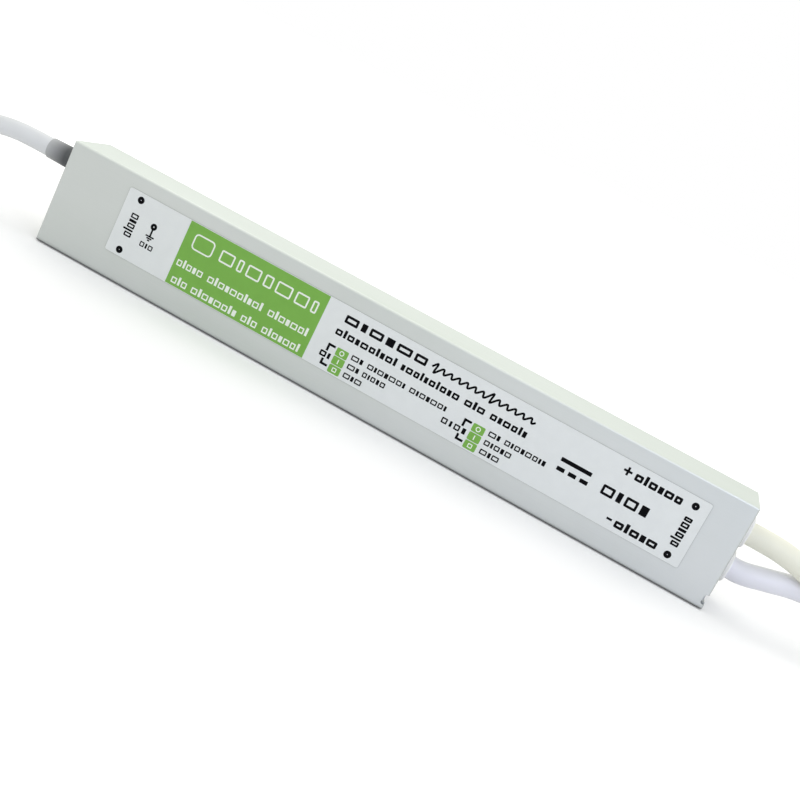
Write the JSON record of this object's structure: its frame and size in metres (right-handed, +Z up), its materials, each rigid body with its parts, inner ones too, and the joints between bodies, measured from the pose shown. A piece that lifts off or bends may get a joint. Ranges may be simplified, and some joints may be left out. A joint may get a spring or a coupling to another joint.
{
  "type": "led driver",
  "caption": "Slim waterproof LED driver: a potted power supply in a silver extruded aluminium tube, with a label on its wide face, a mains cord at one end and output leads at the other.",
  "frame": {"origin": "middle of the tube's underside, the narrow side that it stands on", "axes": "+X along the tube towards the output end, +Y out of the wide back face, away from the label, +Z up"},
  "size_m": [0.4996, 0.0202, 0.03],
  "materials": {
    "anodised_aluminium": "satin anodised, fine lines along the extrusion",
    "label_film": "pale satin film, printed",
    "cap_plastic": "moulded, fine grain",
    "input_rubber": "dark grey moulded rubber",
    "output_rubber": "off-white moulded rubber",
    "input_sheath": "light grey satin sheath",
    "positive_sheath": "warm off-white satin sheath",
    "negative_sheath": "cool off-white satin sheath",
    "core_brown": "brown core insulation",
    "core_blue": "blue core insulation",
    "core_green_yellow": "green and yellow core insulation",
    "tinned_copper": "tinned strands",
    "potting_resin": "grey cast resin",
    "insulating_paper": "pale insulating film",
    "board_green": "green solder mask on glass laminate",
    "black_moulding": "black moulded package",
    "capacitor_box": "yellow moulded box",
    "copper_wire": "enamelled copper wire",
    "ferrite": "dark grey pressed ferrite",
    "capacitor_sleeve": "dark blue shrink sleeve",
    "disc_blue": "blue dipped disc",
    "disc_green": "dark green dipped disc",
    "resistor_body": "grey-blue coated body",
    "fuse_body": "pale ceramic tube with metal caps",
    "pad_silicone": "soft thermal pad",
    "bobbin_plastic": "pale moulded bobbin",
    "winding_tape": "yellow winding tape"
  },
  "bodies": {
    "root": {"housing": "anodised_aluminium", "label": "label_film", "input_end_cap": "cap_plastic", "output_end_cap": "cap_plastic", "input_bush": "input_rubber", "positive_bush": "output_rubber", "negative_bush": "output_rubber", "input_cord": "input_sheath", "positive_lead": "positive_sheath", "negative_lead": "negative_sheath", "input_line_core": "core_brown", "input_neutral_core": "core_blue", "input_earth_core": "core_green_yellow", "input_core_tips": "tinned_copper", "positive_core": "core_brown", "negative_core": "core_blue", "output_core_tips": "tinned_copper", "potting": "potting_resin", "insulating_film": "insulating_paper", "circuit_board": "board_green", "input_wires": "core_brown", "output_wires": "core_blue", "fuse": "fuse_body", "thermistor": "disc_green", "x_capacitor": "capacitor_box", "filter_choke_core": "ferrite", "filter_choke_windings": "copper_wire", "bridge_rectifier": "black_moulding", "bulk_capacitor": "capacitor_sleeve", "snubber_resistor": "resistor_body", "controller_chip": "black_moulding", "switching_transistor": "black_moulding", "transistor_pad": "pad_silicone", "transformer_core": "ferrite", "transformer_bobbin": "bobbin_plastic", "transformer_winding": "winding_tape", "optocoupler": "black_moulding", "y_capacitor": "disc_blue", "output_diode": "black_moulding", "diode_pad": "pad_silicone", "output_capacitors": "capacitor_sleeve", "output_choke_core": "ferrite", "output_choke_winding": "copper_wire"}
  },
  "joints": []
}
